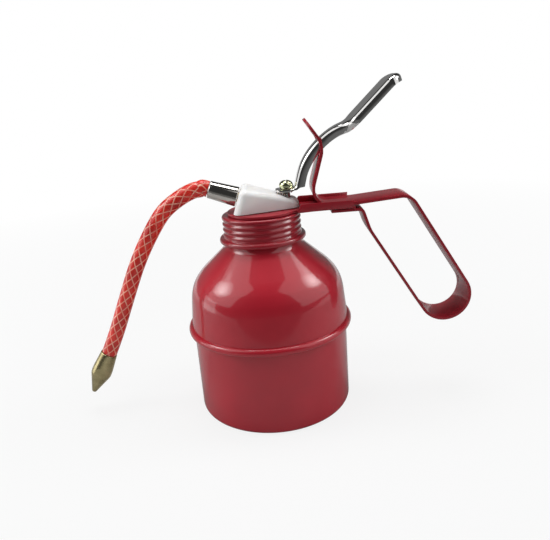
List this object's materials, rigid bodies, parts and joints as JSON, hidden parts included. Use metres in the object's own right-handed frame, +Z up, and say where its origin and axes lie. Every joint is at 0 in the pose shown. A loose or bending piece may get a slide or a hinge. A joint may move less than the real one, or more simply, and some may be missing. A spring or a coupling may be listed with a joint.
{
  "type": "pump oil can",
  "caption": "Round seamed can with a screw cap that carries a lever pump: thumb lever and ball-headed rod, white pump head, hanging braided hose spout with brass nozzle, looped strap handle.",
  "frame": {"origin": "centre of the can's flat base, on the can's axis", "axes": "+Z up the can's axis, +X towards the handle, -X towards the spout; the whole mechanism lies in the XZ plane"},
  "size_m": [0.1823, 0.076, 0.1455],
  "materials": {
    "cup_paint": "gloss",
    "shoulder_paint": "gloss",
    "gasket_rubber": "matte",
    "cap_paint": "gloss",
    "bracket_paint": "gloss",
    "strap_paint": "gloss",
    "head_nylon": "satin, slightly translucent",
    "nut_zinc": "zinc plated",
    "barrel_brass": "drawn",
    "seal_rubber": "matte",
    "stop_nylon": "satin",
    "rod_steel": "polished",
    "piston_nylon": "satin",
    "cup_leather": "oiled",
    "spring_steel": "drawn wire",
    "valve_brass": "turned",
    "inlet_ball_steel": "polished",
    "outlet_ball_steel": "polished",
    "tube_plastic": "satin",
    "nipple_brass": "turned",
    "ferrule_chrome": "bright",
    "hose_vinyl": "clear red with a braid inside",
    "nozzle_brass": "dull, tarnished",
    "screw_brass": "yellow passivated, bright",
    "lever_chrome": "bright"
  },
  "bodies": {
    "can": {"can_cup": "cup_paint", "can_shoulder": "shoulder_paint"},
    "cap_seal": {"cap_gasket": "gasket_rubber"},
    "pump": {"screw_cap": "cap_paint", "mounting_bracket": "bracket_paint", "handle_strap": "strap_paint", "pump_head": "head_nylon", "head_lock_nut": "nut_zinc", "pump_barrel": "barrel_brass", "rod_seal": "seal_rubber", "spring_stop": "stop_nylon", "foot_valve": "valve_brass", "suction_tube": "tube_plastic", "spout_nipple": "nipple_brass", "spout_ferrule": "ferrule_chrome", "spout_hose": "hose_vinyl", "spout_nozzle": "nozzle_brass"},
    "plunger": {"piston_rod": "rod_steel", "piston": "piston_nylon", "piston_cup": "cup_leather", "return_spring": "spring_steel", "ball_screw": "screw_brass"},
    "lever": {"lever": "lever_chrome"},
    "inlet_valve": {"inlet_ball": "inlet_ball_steel"},
    "outlet_valve": {"outlet_ball": "outlet_ball_steel"}
  },
  "joints": [
    {"name": "cap_lift", "type": "slide", "parent": "can", "child": "cap_seal", "axis": [0, 0, 1], "range_m": [0, 0.0099]},
    {"name": "cap_turn", "type": "hinge", "parent": "cap_seal", "child": "pump", "pos_m": [0, 0, 0.09], "axis": [0, 0, 1], "range_deg": [0, 1440]},
    {"name": "rod_lift", "type": "slide", "parent": "pump", "child": "plunger", "axis": [0, 0, 1], "range_m": [0, 0.007], "stiffness_N_per_m": 400, "springref_m": -0.005, "deforming": ["return_spring"]},
    {"name": "lever_tilt", "type": "hinge", "parent": "plunger", "child": "lever", "pos_m": [0.012, 0, 0.1026], "axis": [0, 1, 0], "range_deg": [0, 17.7]},
    {"name": "inlet_lift", "type": "slide", "parent": "pump", "child": "inlet_valve", "axis": [0, 0, 1], "range_m": [0, 0.0012]},
    {"name": "outlet_slide", "type": "slide", "parent": "pump", "child": "outlet_valve", "axis": [-0.9415, 0, 0.3371], "range_m": [0, 0.0012]}
  ],
  "couplings": [
    {"joint": "cap_lift", "follows": "cap_turn", "m_per_rad": 0.00038993},
    {"joint": "lever_tilt", "follows": "rod_lift", "rad_per_m": 44}
  ]
}
